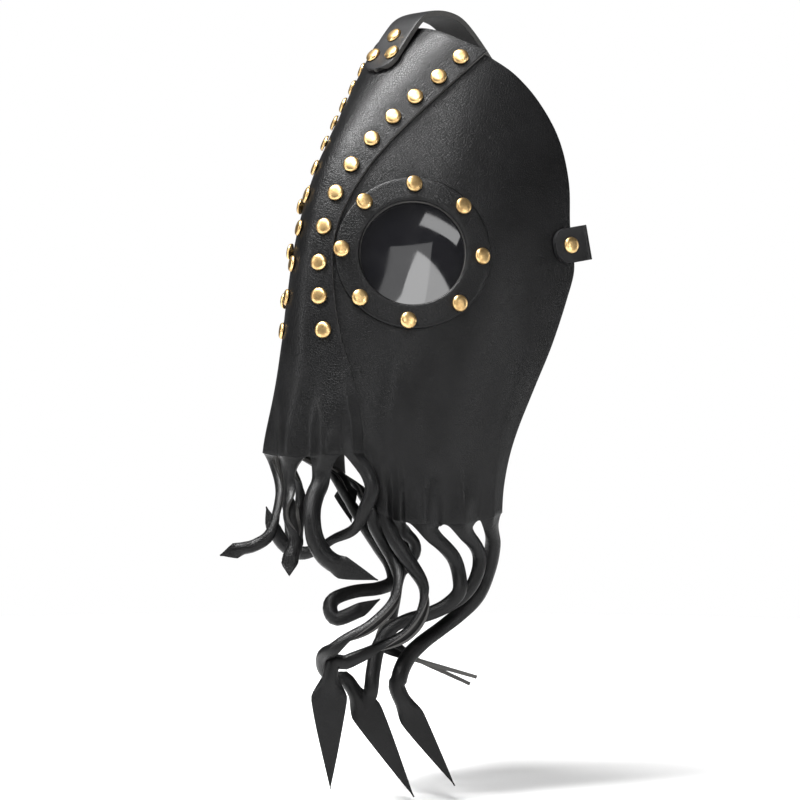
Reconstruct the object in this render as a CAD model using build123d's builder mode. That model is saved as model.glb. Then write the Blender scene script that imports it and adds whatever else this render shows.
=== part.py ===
from build123d import *
import os
from math import cos, radians, sin, tan

# Tentacle hood mask in leather: a centre strip and two side panels riveted together,
# two round eye windows, a crown strap and a two-part buckled back strap.
# Millimetres. +Z up, the face looks along -Y, the wearer's left is +X.
# X = 0 is the plane of symmetry, Z = 0 the height of the eye centres.

os.makedirs("parts", exist_ok=True)

# ---- driving dimensions --------------------------------------------------------------
PANEL_LEATHER = 1.8
STRAP_LEATHER = 2.5
LAYER_GAP = 0.15
RIVET_RADIUS = 4.0
RIVET_DOME = 1.9
RIVET_POST = 1.5
POST_CLEARANCE = 0.1
RIVET_LIFT = 0.12
BACK_CAP_DROP = 0.4
BACK_CAP_HEIGHT = 1.2
BACK_CAP_RADIUS = 3.6
LONGEST_POST = 8.0
CUT_THROUGH = 60.0

EYE_ARC = 51.2
EYE_HOLE_RADIUS = 25.0
EYE_RING_RADIUS = 36.3
EYE_RIVET_RADIUS = 32.6
EYE_RIVETS = 8
EYE_RIVET_TURN = -2.5
SEAT_STEPS = 10
LENS_RADIUS = 27.4
LENS_THICKNESS = 1.4
RETAINER_BORE = 24.5
LENS_SEAT_RADIUS = 27.7
EYE_PATCH = 40.0
LENS_GAP = 0.2
RETAINER_STEP = 1.7
RETAINER_OVERLAP = 0.2
RETAINER_LIP = 1.6
RETAINER_DEPTH = 3.4

TEMPLE_ARC = 128.3
TEMPLE_HEIGHT = 4.5
STRAP_STANDOFF = 0.3
STRAP_TILT = 10.0
BACK_STRAP_WIDTH = 17.0
STRAP_FRONT = -8.5
STRAP_CORNER = 10.0
STRAP_REACH = 90.0
STRAP_TURN = 59.0
BEND_RADIUS = 4.0
BILLET_HOLES = 5
BILLET_HOLE_RADIUS = 1.7
BILLET_PITCH = 10.0
CROWN_WIDTH = 21.0
CROWN_STANDOFF = 1.6
LOOP_STANDOFF = 1.3

BUCKLE_WIRE = 1.3
BUCKLE_ARM = 10.6
BUCKLE_CORNER = 3.0
BAR_DISTANCE = 62.0
BAR_TO_ROLLER = 16.0
ROLLER_RADIUS = 2.3
ROLLER_LENGTH = 14.4
PIVOT_CLEARANCE = 0.08
PRONG_RADIUS = 1.1
PRONG_EYE_RADIUS = 2.6
PRONG_EYE_WIDTH = 3.0
PRONG_SLOT_WIDTH = 4.6
PRONG_SLOT_LENGTH = 22.0
PRONG_BEND = 3.0
ROLLER_CLEARANCE = 0.3
FOLD_RADIUS = 2.86
FOLD_RIVETS = [41.0, 19.0]
FOLD_NARROWS = 53.0
FOLD_CLOSED = 46.5
FOLD_END = 12.0
PLY_GAP = 0.25
KEEPER_AT = 30.0
KEEPER_WIDTH = 6.0
KEEPER_WALL = 1.6
KEEPER_CORNER = 2.0
KEEPER_ROOM = 0.4
KEEPER_RISE = 0.3

TOP_RIM = PANEL_LEATHER + LAYER_GAP
SECTION_STEPS = 60
STRAP_END = 0.42

# Sections of the head form, from the crown to the jaw:
# height, nose Y, ridge half-width, cheek X and Y, temple X and Y, back X and Y
SECTIONS = [
    (112, 72, 16, 30, 77, 50, 99, 58, 130),
    (98, 58, 14, 31, 69, 52, 93, 60, 127),
    (70, 36, 11, 32, 55, 58, 84, 68, 125),
    (40, 17, 9, 32, 40, 64, 74, 74, 123),
    (10, 6, 8, 31, 27, 67, 66, 77, 120),
    (-20, 0, 9, 31, 22, 68, 61, 76, 117),
    (-50, -3, 12, 32, 19, 65, 57, 73, 113),
    (-80, -6, 16, 34, 15, 60, 53, 67, 108),
    (-110, -8, 20, 35, 14, 56, 50, 62, 103),
    (-135, -8, 21, 36, 13, 55, 49, 60, 100),
]

# Edges of the leather pieces: height and distance from the centre line, along the leather
CENTRE_EDGE = [
    (100, 50), (80, 39.5), (60, 28.5), (40, 20), (20, 14.5), (5, 13.5), (-15, 16), (-40, 22),
    (-60, 29.5), (-80, 35.5), (-98, 38),
]
SIDE_FRONT_EDGE = [
    (102, 33), (90, 28.5), (70, 15.5), (50, 7), (30, 3), (-5, 3), (-35, 7), (-60, 15),
    (-80, 25), (-98, 38), (-130, 42),
]
SIDE_BACK_EDGE = [
    (97, 50), (88, 68), (74, 88), (55, 108), (35, 121), (12, 128), (-6, 134), (-20, 132.5),
    (-40, 127.5), (-65, 119.5), (-95, 111.5), (-130, 110.5),
]
# Top and bottom edges: share of the width from front to back, height
CENTRE_TOP = [(0, 98.5), (0.25, 107), (0.5, 111), (0.75, 107), (1, 98.5)]
SIDE_TOP = [(0, 101), (1, 97)]
CENTRE_BOTTOM = [(0, -95), (0.5, -97), (1, -95)]
LEFT_BOTTOM = [(0, -117), (0.15, -124), (0.3, -127), (0.6, -129), (0.85, -128), (1, -124)]
RIGHT_BOTTOM = [(0, -98), (0.7, -98), (0.9, -103), (1, -108)]

# Rivets of the two seams: heights, and the share of the overlap from its front edge
SEAM_RIVETS = [95, 85, 75, 65, 54, 41.5, 28, 12, -5, -21, -37]
SEAM_SHARE = 0.47

# Crown strap, side view of its middle line, Y and Z: up the forehead, over the head and down behind
# it, where it turns up again into the loop for the back strap
CROWN_ROUTE = [
    (45.9, 91.2), (54.9, 102.6), (62, 111.5), (68.5, 118), (79, 121), (93, 117.5), (110, 108), (123, 95),
    (134, 79), (142.2, 62.5), (144.6, 54.5), (148.5, 44.5), (148.5, 30.5), (138.5, 30.5),
    (138.5, 44), (141.8, 53.7), (140.1, 59.5),
]
CROWN_RADII = [14, 14, 10, 14, 14, 20, 20, 20, 12, 12, 12, 4.5, 4.5, 8, 8]

# Rivets of the crown strap: X, Y, Z on the strap's middle line, and the strap's slope there
CROWN_RIVETS = [
    (0, 59.7, 108.6, 0.78, 0.62), (6.8, 52, 98.9, 0.78, 0.62), (-6.8, 52, 98.9, 0.78, 0.62),
]
LOOP_RIVET = (0, 143.85, 57.0)
LOOP_OUTWARD = (0, 0.958, 0.287)

# Tentacles: radius, route of the curled strip, tip of its leaf, half-width of the leaf, and the
# direction that the leaf's flat side faces
FORWARD = (0.74, -0.67, 0)
UPWARD = (0.15, 0.28, 0.95)
TENTACLES = {
    "tentacle_centre_1": (3.0, [(-16, -3, -95), (-11, -6, -108), (-5, -12, -119), (0, -21, -132),
                                (-3, -27, -138), (-6, -33, -140)], (-12, -41, -143), 4.0, FORWARD),
    "tentacle_centre_2": (4.0, [(-1, -7, -96), (1, -10, -110), (6, -14, -123), (10, -15, -135),
                                (13, -19, -145)], (15, -21, -152), 4.0, FORWARD),
    "tentacle_centre_3": (4.5, [(23, 0, -95), (20, -3, -106), (19, -8, -114), (22, -11, -125),
                                (25, -11, -137), (30, -7, -146)], (45, 8, -154), 5.5, FORWARD),
    "tentacle_centre_4": (3.5, [(29, 6, -95), (35, 10, -104), (38, 10, -112), (34, 8, -121),
                                (25, 10, -130), (13, 9, -135), (5, 5, -140), (-3, 1, -142),
                                (-10, -3, -139), (-14, -7, -131)], (-18, -8, -121), 3.0, FORWARD),
    "tentacle_left_1": (3.5, [(39, 20, -121), (45, 21, -137), (51, 23, -148), (55, 27, -159),
                              (56, 24, -170), (52, 18, -179), (45, 6, -185), (37, -4, -191),
                              (33, -11, -197)], (34, -12, -251), 8.5, FORWARD),
    "tentacle_left_2": (3.5, [(31, 17, -115), (31, 19, -128), (34, 21, -137), (39, 22, -145),
                              (47, 18, -155), (48, 13, -165), (45, 3, -174), (40, -8, -180),
                              (36, -13, -185), (28, -12, -190), (23, -6, -197), (24, 1, -202),
                              (28, 7, -206)], (48, 28, -257), 7.5, FORWARD),
    "tentacle_left_3": (3.5, [(50, 42, -125), (51, 50, -142), (52, 53, -151), (54, 51, -160),
                              (50, 47, -166), (45, 40, -170), (39, 31, -173), (35, 23, -178),
                              (34, 17, -186), (37, 12, -196), (40, 8, -206)],
                        (39, 5, -217), 3.5, FORWARD),
    "tentacle_left_4": (3.5, [(54, 61, -124), (51, 69, -144), (51, 67, -155), (49, 61, -164),
                              (44, 54, -170), (38, 47, -174), (31, 38, -177), (25, 32, -180),
                              (23, 31, -186), (24, 36, -190)], (44, 73, -203), 5.0, UPWARD),
    "tentacle_left_5": (4.0, [(57, 75, -121), (49, 80, -141), (46, 79, -152), (44, 73, -163),
                              (39, 65, -172), (36, 55, -179), (36, 43, -185), (36, 34, -192),
                              (39, 27, -201), (40, 27, -211)], (59, 44, -252), 6.0, FORWARD),
    "tentacle_left_6": (3.0, [(43, 28, -124), (38, 34, -131), (37, 38, -139), (35, 37, -147)],
                        (29, 32, -157), 3.0, FORWARD),
    "tentacle_right_1": (3.5, [(-36, 17, -95), (-31, 13, -115), (-25, 11, -125), (-21, 10, -136),
                               (-20, 9, -144)], (-20, 8, -153), 4.0, FORWARD),
    "tentacle_right_2": (3.5, [(-45, 33, -94), (-38, 29, -117), (-35, 25, -127), (-33, 23, -138)],
                         (-32, 22, -148), 4.0, FORWARD),
    "tentacle_right_3": (3.5, [(-51, 50, -94), (-40, 51, -105), (-33, 50, -112), (-24, 50, -122),
                               (-14, 49, -131), (-3, 50, -141), (8, 49, -149), (17, 43, -156),
                               (20, 31, -159), (18, 17, -160), (17, 5, -163), (18, 1, -168),
                               (22, 2, -173), (27, 10, -170)], (34, 19, -164), 3.5, FORWARD),
    "tentacle_right_4": (3.5, [(-55, 64, -94), (-49, 64, -106), (-42, 62, -113)],
                         (-34, 60, -131), 6.0, FORWARD),
    "tentacle_right_5": (3.5, [(-57, 73, -101), (-46, 72, -111), (-34, 70, -122),
                               (-19, 71, -132), (-6, 71, -140), (1, 67, -149), (3, 60, -158),
                               (5, 56, -168), (5, 54, -180), (9, 55, -191)],
                         (31, 81, -208), 5.0, UPWARD),
}
LEAF_THICKNESS = 2.0
LEAF_WIDEST = 0.3
SHARPEST_BEND = 0.5


# ---- the head form -------------------------------------------------------------------
def along(table, at):
    """Smooth curve through (at, value) rows, for any value column set, clamped at its ends."""
    rows = sorted(table)
    at = min(max(at, rows[0][0]), rows[-1][0])
    last = len(rows) - 1
    low = 0
    while low < last - 1 and rows[low + 1][0] <= at:
        low += 1

    def slope(row):
        before = rows[max(row - 1, 0)]
        after = rows[min(row + 1, last)]
        return [(a - b) / (after[0] - before[0]) for a, b in zip(after[1:], before[1:])]

    span = rows[low + 1][0] - rows[low][0]
    t = (at - rows[low][0]) / span
    start_weight = 2 * t**3 - 3 * t**2 + 1
    end_weight = 1 - start_weight
    start_pull = (t**3 - 2 * t**2 + t) * span
    end_pull = (t**3 - t**2) * span
    columns = zip(rows[low][1:], rows[low + 1][1:], slope(low), slope(low + 1))
    return [start_weight * a + end_weight * b + start_pull * m + end_pull * n for a, b, m, n in columns]


def section_curve(share, points):
    """Clamped cubic B-spline of five control values, at share 0 (nose) to 1 (back)."""
    first, second, third, fourth, fifth = points
    early = (second + third) / 2
    late = (third + fourth) / 2
    middle = (early + late) / 2
    if share < 0.5:
        a, b, c, d = first, second, early, middle
        t = 2 * share
    else:
        a, b, c, d = middle, late, fourth, fifth
        t = 2 * share - 1
    return (1 - t) ** 3 * a + 3 * t * (1 - t) ** 2 * b + 3 * t**2 * (1 - t) * c + t**3 * d


def form_point(share, height):
    """Point of the form: share runs from -1 (wearer's right, back) through 0 (nose) to 1."""
    nose, ridge, cheek_x, cheek_y, temple_x, temple_y, back_x, back_y = along(SECTIONS, height)
    x = section_curve(abs(share), (0, ridge, cheek_x, temple_x, back_x))
    y = section_curve(abs(share), (nose, nose, cheek_y, temple_y, back_y))
    return Vector(x if share >= 0 else -x, y, height)


def form_normal(share, height):
    """Outward normal of the form."""
    across = form_point(share + 0.001, height) - form_point(share - 0.001, height)
    upward = form_point(share, height + 0.5) - form_point(share, height - 0.5)
    return across.cross(upward).normalized()


def share_at(arc, height):
    """Share of the section at a distance along the leather from the centre line."""
    steps = SECTION_STEPS
    travelled = 0.0
    previous = form_point(0, height)
    for step in range(1, steps + 1):
        current = form_point(step / steps, height)
        length = (current - previous).length
        if travelled + length >= abs(arc):
            share = (step - 1 + (abs(arc) - travelled) / length) / steps
            return share if arc >= 0 else -share
        travelled += length
        previous = current
    return 1.0 if arc >= 0 else -1.0


def seat(arc, height, lift=0.0):
    """Plane lying on the leather at a distance from the centre line, its Z pointing outwards."""
    share = share_at(arc, height)
    normal = form_normal(share, height)
    across = form_point(share + 0.01, height) - form_point(share - 0.01, height)
    return Plane(origin=form_point(share, height) + normal * lift, x_dir=across, z_dir=normal)


def leather_face(front, back, top, bottom, lift, columns=17, rows=21):
    """Face between two edges, at a lift above the form."""
    grid = []
    for column in range(columns):
        a = column / (columns - 1)
        upper = along(top, a)[0]
        lower = along(bottom, a)[0]
        line = []
        for row in range(rows):
            height = upper + (lower - upper) * row / (rows - 1)
            start = share_at(front(height), height)
            end = share_at(back(height), height)
            share = start + (end - start) * a
            line.append(form_point(share, height) + form_normal(share, height) * lift)
        grid.append(line)
    return Face.make_surface_from_array_of_points(grid, tol=0.02)


def outward(face):
    """1 where the face's own normal points away from the head, else -1."""
    middle = face.position_at(0.5, 0.5)
    return 1 if face.normal_at(middle).dot(Vector(middle.X, middle.Y - 90, 0)) > 0 else -1


def mirrored(part):
    """The same piece for the wearer's right side."""
    return part.mirror(Plane.YZ)


def mirrored_plane(place):
    """The matching seat on the wearer's right side."""
    origin = Vector(-place.origin.X, place.origin.Y, place.origin.Z)
    return Plane(
        origin=origin,
        x_dir=Vector(-place.x_dir.X, place.x_dir.Y, place.x_dir.Z),
        z_dir=Vector(-place.z_dir.X, place.z_dir.Y, place.z_dir.Z),
    )


def finish(part, name):
    """Label a finished piece and write it."""
    part.label = name
    export_step(part, f"parts/{name}.step")


# ---- rivets --------------------------------------------------------------------------
with BuildPart() as rivet_cap:
    Cylinder(RIVET_RADIUS, RIVET_DOME, align=(Align.CENTER, Align.CENTER, Align.MIN))
    fillet(rivet_cap.edges().sort_by(Axis.Z)[-1], RIVET_DOME - 0.4)
    Cylinder(RIVET_POST, LONGEST_POST, align=(Align.CENTER, Align.CENTER, Align.MAX))

with BuildPart() as rivet_back:
    Cylinder(BACK_CAP_RADIUS, BACK_CAP_HEIGHT, align=(Align.CENTER, Align.CENTER, Align.MAX))
    fillet(rivet_back.edges().sort_by(Axis.Z)[0], 0.5)
    Hole(RIVET_POST + 0.05)


def rivet_caps(seats, stack):
    """Caps on the seats; each post is cut to the leather stack below its cap."""
    with BuildPart() as caps:
        with Locations(*[Location(place.offset(RIVET_LIFT)) for place in seats]):
            add(rivet_cap.part)
        with Locations(*[Location(place.offset(-stack - BACK_CAP_HEIGHT)) for place in seats]):
            Cylinder(RIVET_RADIUS, LONGEST_POST, align=(Align.CENTER, Align.CENTER, Align.MAX),
                     mode=Mode.SUBTRACT)
    return caps.part


def rivet_backs(seats, stack):
    """Back caps pressed on the posts behind the leather stack."""
    with BuildPart() as backs:
        with Locations(*[Location(place.offset(-stack)) for place in seats]):
            add(rivet_back.part)
    return backs.part


def pierce(seats, radius=RIVET_POST + POST_CLEARANCE):
    """Round holes for rivet posts, one at each seat."""
    with Locations(*[Location(place) for place in seats]):
        Cylinder(radius, 2 * LONGEST_POST, mode=Mode.SUBTRACT)


def eye_seats(lift):
    """Seats of the eye ring's rivets, on a circle round the eye's axis and square to the leather."""
    seats = []
    for number in range(EYE_RIVETS):
        turn = radians(90 + EYE_RIVET_TURN + 360 / EYE_RIVETS * number)
        wanted = Vector(EYE_RIVET_RADIUS * cos(turn), EYE_RIVET_RADIUS * sin(turn))
        arc = EYE_ARC + wanted.X
        height = wanted.Y
        for _ in range(SEAT_STEPS):
            here = eye.to_local_coords(seat(arc, height).origin)
            arc += wanted.X - here.X
            height += wanted.Y - here.Y
        seats.append(seat(arc, height, lift))
    return seats


def seam_arc(height):
    """Distance of a seam's rivet from the centre line."""
    inner = along(SIDE_FRONT_EDGE, height)[0]
    outer = along(CENTRE_EDGE, height)[0]
    return inner + SEAM_SHARE * (outer - inner)


OUTER_FACE = TOP_RIM + PANEL_LEATHER
eye = seat(EYE_ARC, 0)
seam_seats = [seat(seam_arc(height), height, OUTER_FACE) for height in SEAM_RIVETS]
window_seats = eye_seats(OUTER_FACE)
temple = seat(TEMPLE_ARC, TEMPLE_HEIGHT, PANEL_LEATHER)
loop_seat = Plane(origin=LOOP_RIVET, x_dir=(1, 0, 0), z_dir=LOOP_OUTWARD).offset(STRAP_LEATHER / 2)
crown_seats = [
    Plane(origin=(x, y, z), x_dir=(1, 0, 0), z_dir=(0, -rise, run)).offset(STRAP_LEATHER / 2)
    for x, y, z, rise, run in CROWN_RIVETS
]

# ---- leather panels ------------------------------------------------------------------
centre_face = leather_face(
    lambda height: -along(CENTRE_EDGE, height)[0], lambda height: along(CENTRE_EDGE, height)[0],
    CENTRE_TOP, CENTRE_BOTTOM, TOP_RIM, columns=25, rows=21,
)
with BuildPart() as centre_panel:
    thicken(centre_face, amount=PANEL_LEATHER * outward(centre_face))
    pierce(seam_seats)
    pierce([mirrored_plane(place) for place in seam_seats])
    pierce(crown_seats)
finish(centre_panel.part, "centre_panel")


def side_panel(bottom):
    """Side panel of the wearer's left, pierced for its rivets and cut out at the eye."""
    face = leather_face(
        lambda height: along(SIDE_FRONT_EDGE, height)[0], lambda height: along(SIDE_BACK_EDGE, height)[0],
        SIDE_TOP, bottom, 0,
    )
    with BuildPart() as panel:
        thicken(face, amount=PANEL_LEATHER * outward(face))
        with Locations(Location(eye)):
            Cylinder(EYE_HOLE_RADIUS, CUT_THROUGH, mode=Mode.SUBTRACT)
        pierce(seam_seats + window_seats + [temple])
    return panel.part


finish(side_panel(LEFT_BOTTOM), "left_side_panel")
finish(mirrored(side_panel(RIGHT_BOTTOM)), "right_side_panel")

# ---- eye windows ---------------------------------------------------------------------
def window_layer(inner_radius, outer_radius, inner_lift, thickness):
    """Ring or disc of the form's own curve round the eye, between two lifts."""
    patch = leather_face(
        lambda height: EYE_ARC - EYE_PATCH, lambda height: EYE_ARC + EYE_PATCH,
        [(0, EYE_PATCH), (1, EYE_PATCH)], [(0, -EYE_PATCH), (1, -EYE_PATCH)], inner_lift, 15, 15,
    )
    with BuildPart() as layer:
        thicken(patch, amount=thickness * outward(patch))
        with BuildPart(mode=Mode.PRIVATE) as cutter:
            with Locations(Location(eye)):
                Cylinder(outer_radius, CUT_THROUGH)
                if inner_radius:
                    Cylinder(inner_radius, CUT_THROUGH, mode=Mode.SUBTRACT)
        add(cutter.part, mode=Mode.INTERSECT)
    return layer.part


with BuildPart() as eye_ring:
    add(window_layer(EYE_HOLE_RADIUS, EYE_RING_RADIUS, TOP_RIM, PANEL_LEATHER))
    pierce(window_seats)

lens = window_layer(0, LENS_RADIUS, -LENS_GAP - LENS_THICKNESS, LENS_THICKNESS)

with BuildPart() as lens_retainer:
    add(window_layer(LENS_SEAT_RADIUS, EYE_RING_RADIUS, -RETAINER_STEP - RETAINER_OVERLAP, RETAINER_STEP))
    add(window_layer(RETAINER_BORE, EYE_RING_RADIUS, -RETAINER_DEPTH, RETAINER_LIP))
    pierce(window_seats)

for part, piece in ((eye_ring.part, "eye_ring"), (lens, "eye_lens"), (lens_retainer.part, "lens_retainer")):
    finish(part, f"left_{piece}")
    finish(mirrored(part), f"right_{piece}")

# ---- rivets in place -----------------------------------------------------------------
SEAM_STACK = OUTER_FACE + BACK_CAP_DROP
EYE_STACK = OUTER_FACE + RETAINER_DEPTH + BACK_CAP_DROP
for seats, stack, piece in ((seam_seats, SEAM_STACK, "seam"), (window_seats, EYE_STACK, "eye")):
    caps = rivet_caps(seats, stack)
    backs = rivet_backs(seats, stack)
    finish(caps, f"left_{piece}_rivets")
    finish(backs, f"left_{piece}_rivet_backs")
    finish(mirrored(caps), f"right_{piece}_rivets")
    finish(mirrored(backs), f"right_{piece}_rivet_backs")

# ---- straps --------------------------------------------------------------------------
def strap(plane, route, radii, width, ends=(0,)):
    """Flat strap whose middle line follows a route in a plane; the named ends are rounded."""
    with BuildPart() as band:
        with BuildLine(plane) as middle:
            FilletPolyline(*route, radius=radii)
        path = middle.wires()[0]
        with BuildSketch(Plane(origin=path @ 0, x_dir=plane.z_dir, z_dir=path % 0)):
            Rectangle(width, STRAP_LEATHER)
        sweep(path=path)
        for end in ends:
            short = band.edges().filter_by(lambda line: abs(line.length - STRAP_LEATHER) < 0.01)
            fillet(short.sort_by_distance(path @ end)[:2], width * STRAP_END)
    return band.part


with BuildPart() as crown_strap:
    add(strap(Plane.YZ, CROWN_ROUTE, CROWN_RADII, CROWN_WIDTH))
    pierce(crown_seats + [loop_seat])
finish(crown_strap.part, "crown_strap")
CROWN_STACK = STRAP_LEATHER + PANEL_LEATHER + CROWN_STANDOFF + BACK_CAP_DROP
LOOP_STACK = 2 * STRAP_LEATHER + LOOP_STANDOFF
finish(rivet_caps(crown_seats, CROWN_STACK), "crown_rivets")
finish(rivet_backs(crown_seats, CROWN_STACK), "crown_rivet_backs")
finish(rivet_caps([loop_seat], LOOP_STACK), "crown_loop_rivet")
finish(rivet_backs([loop_seat], LOOP_STACK), "crown_loop_rivet_back")

# Back strap halves. Each lies in a plane through its temple rivet: X runs backwards along the
# panel, Y outwards from it, Z along the strap's width
backwards = Vector(0, 0, 1).cross(temple.z_dir).normalized()
upwards = temple.z_dir.cross(backwards).normalized()
tilted = backwards * cos(radians(STRAP_TILT)) + upwards * sin(radians(STRAP_TILT))
strap_plane = Plane(origin=temple.origin, x_dir=tilted, z_dir=tilted.cross(temple.z_dir))
MIDDLE = STRAP_STANDOFF + STRAP_LEATHER / 2
corner = Vector(STRAP_CORNER, MIDDLE)
onwards = Vector(cos(radians(STRAP_TURN)), -sin(radians(STRAP_TURN)))
outwards = Vector(sin(radians(STRAP_TURN)), cos(radians(STRAP_TURN)))


def down_strap(distance, offset=0.0):
    """Point of the strap's plane, past its corner and off its middle line."""
    place = corner + onwards * distance + outwards * offset
    return (place.X, place.Y)


def strap_seat(distance, offset=0.0):
    """Plane on the strap past its corner: X along the strap, Z outwards from it."""
    place = down_strap(distance, offset)
    origin = strap_plane.from_local_coords(Vector(place[0], place[1], 0))
    along_strap = strap_plane.from_local_coords(Vector(*down_strap(distance + 1, offset), 0)) - origin
    outward_dir = strap_plane.from_local_coords(Vector(*down_strap(distance, offset + 1), 0)) - origin
    return Plane(origin=origin, x_dir=along_strap, z_dir=outward_dir)


front = (STRAP_FRONT, MIDDLE)
with BuildPart() as billet_strap:
    add(strap(strap_plane, [front, (corner.X, corner.Y), down_strap(STRAP_REACH)], BEND_RADIUS,
              BACK_STRAP_WIDTH, ends=(0, 1)))
    pierce([temple])
    pierce([strap_seat(STRAP_REACH - BILLET_PITCH * (number + 1)) for number in range(BILLET_HOLES)],
           BILLET_HOLE_RADIUS)
finish(billet_strap.part, "left_billet_strap")

ply = STRAP_LEATHER + PLY_GAP
fold_seats = [strap_seat(distance, STRAP_LEATHER / 2) for distance in FOLD_RIVETS]
with BuildPart() as buckle_strap:
    add(strap(
        strap_plane,
        [front, (corner.X, corner.Y), down_strap(BAR_DISTANCE + FOLD_RADIUS),
         down_strap(BAR_DISTANCE + FOLD_RADIUS, -2 * FOLD_RADIUS),
         down_strap(FOLD_NARROWS, -2 * FOLD_RADIUS), down_strap(FOLD_CLOSED, -ply),
         down_strap(FOLD_END, -ply)],
        [BEND_RADIUS, FOLD_RADIUS - 0.01, FOLD_RADIUS - 0.01, 5, 5], BACK_STRAP_WIDTH,
    ))
    pierce([temple])
    pierce(fold_seats)
    with Locations(strap_seat(BAR_DISTANCE - 4, -FOLD_RADIUS)):
        Box(PRONG_SLOT_LENGTH, PRONG_SLOT_WIDTH, 4 * FOLD_RADIUS, mode=Mode.SUBTRACT)
finish(mirrored(buckle_strap.part), "right_buckle_strap")
FOLD_STACK = STRAP_LEATHER + ply
finish(mirrored(rivet_caps(fold_seats, FOLD_STACK + 0.1)), "fold_rivets")
finish(mirrored(rivet_backs(fold_seats, FOLD_STACK + 0.1)), "fold_rivet_backs")

temple_face = temple.offset(STRAP_STANDOFF + STRAP_LEATHER)
TEMPLE_STACK = PANEL_LEATHER + STRAP_STANDOFF + STRAP_LEATHER + BACK_CAP_DROP
for side, change in (("left", lambda part: part), ("right", mirrored)):
    finish(change(rivet_caps([temple_face], TEMPLE_STACK)), f"{side}_temple_rivet")
    finish(change(rivet_backs([temple_face], TEMPLE_STACK)), f"{side}_temple_rivet_back")

# ---- roller buckle -------------------------------------------------------------------
heel = strap_seat(BAR_DISTANCE, -FOLD_RADIUS)
front_bar = strap_seat(BAR_DISTANCE + BAR_TO_ROLLER, -FOLD_RADIUS)
with BuildPart() as buckle_frame:
    with BuildLine(heel) as loop:
        FilletPolyline(
            (0, BUCKLE_ARM), (BAR_TO_ROLLER, BUCKLE_ARM), (BAR_TO_ROLLER, -BUCKLE_ARM), (0, -BUCKLE_ARM),
            radius=BUCKLE_CORNER, close=True,
        )
    ring = loop.wires()[0]
    with BuildSketch(Plane(origin=ring @ 0, x_dir=heel.z_dir, z_dir=ring % 0)):
        Circle(BUCKLE_WIRE)
    sweep(path=ring)
finish(mirrored(buckle_frame.part), "buckle_frame")

across_strap = strap_plane.z_dir
with BuildPart() as buckle_roller:
    with BuildSketch(Plane(origin=front_bar.origin, x_dir=heel.x_dir, z_dir=across_strap)):
        Circle(ROLLER_RADIUS)
        Circle(BUCKLE_WIRE + PIVOT_CLEARANCE, mode=Mode.SUBTRACT)
    extrude(amount=ROLLER_LENGTH / 2, both=True)
finish(mirrored(buckle_roller.part), "buckle_roller")

REST_RISE = ROLLER_RADIUS + PRONG_RADIUS + ROLLER_CLEARANCE
with BuildPart() as buckle_prong:
    with BuildLine(Plane(origin=heel.origin, x_dir=heel.x_dir, z_dir=across_strap)) as shank:
        FilletPolyline(
            (2.0, 0), (5, 2.2), (BAR_TO_ROLLER - 1, REST_RISE), (BAR_TO_ROLLER + 3.2, REST_RISE),
            radius=PRONG_BEND,
        )
    with BuildSketch(Plane(origin=shank.wires()[0] @ 0, x_dir=across_strap, z_dir=shank.wires()[0] % 0)):
        Circle(PRONG_RADIUS)
    sweep(path=shank.wires()[0])
    with BuildSketch(Plane(origin=heel.origin, x_dir=heel.x_dir, z_dir=across_strap)):
        Circle(PRONG_EYE_RADIUS)
    extrude(amount=PRONG_EYE_WIDTH / 2, both=True)
    with Locations(Plane(origin=heel.origin, x_dir=heel.x_dir, z_dir=across_strap)):
        Cylinder(BUCKLE_WIRE + PIVOT_CLEARANCE, 2 * PRONG_EYE_WIDTH, mode=Mode.SUBTRACT)
finish(mirrored(buckle_prong.part), "buckle_prong")

KEEPER_INSIDE = BACK_STRAP_WIDTH + 2 * KEEPER_ROOM
KEEPER_HEIGHT = 2 * STRAP_LEATHER + ply + 0.9
with BuildPart() as strap_keeper:
    keeper_plane = strap_seat(KEEPER_AT, (STRAP_LEATHER + KEEPER_RISE - ply) / 2)
    section_plane = Plane(origin=keeper_plane.origin, x_dir=strap_plane.z_dir, z_dir=keeper_plane.x_dir)
    with BuildSketch(section_plane):
        RectangleRounded(KEEPER_INSIDE + 2 * KEEPER_WALL, KEEPER_HEIGHT + 2 * KEEPER_WALL, KEEPER_CORNER)
        RectangleRounded(KEEPER_INSIDE, KEEPER_HEIGHT, KEEPER_ROOM, mode=Mode.SUBTRACT)
    extrude(amount=KEEPER_WIDTH / 2, both=True)
finish(mirrored(strap_keeper.part), "strap_keeper")


# ---- tentacles -----------------------------------------------------------------------
def corner_radii(route, smallest):
    """Largest tangent arc at each point of a route, never under the smallest."""
    radii = []
    for before, here, after in zip(route, route[1:], route[2:]):
        arriving = Vector(*here) - Vector(*before)
        leaving = Vector(*after) - Vector(*here)
        half_turn = radians(arriving.get_angle(leaving)) / 2
        radii.append(max(0.45 * min(arriving.length, leaving.length) / tan(half_turn), smallest))
    return radii


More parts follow.
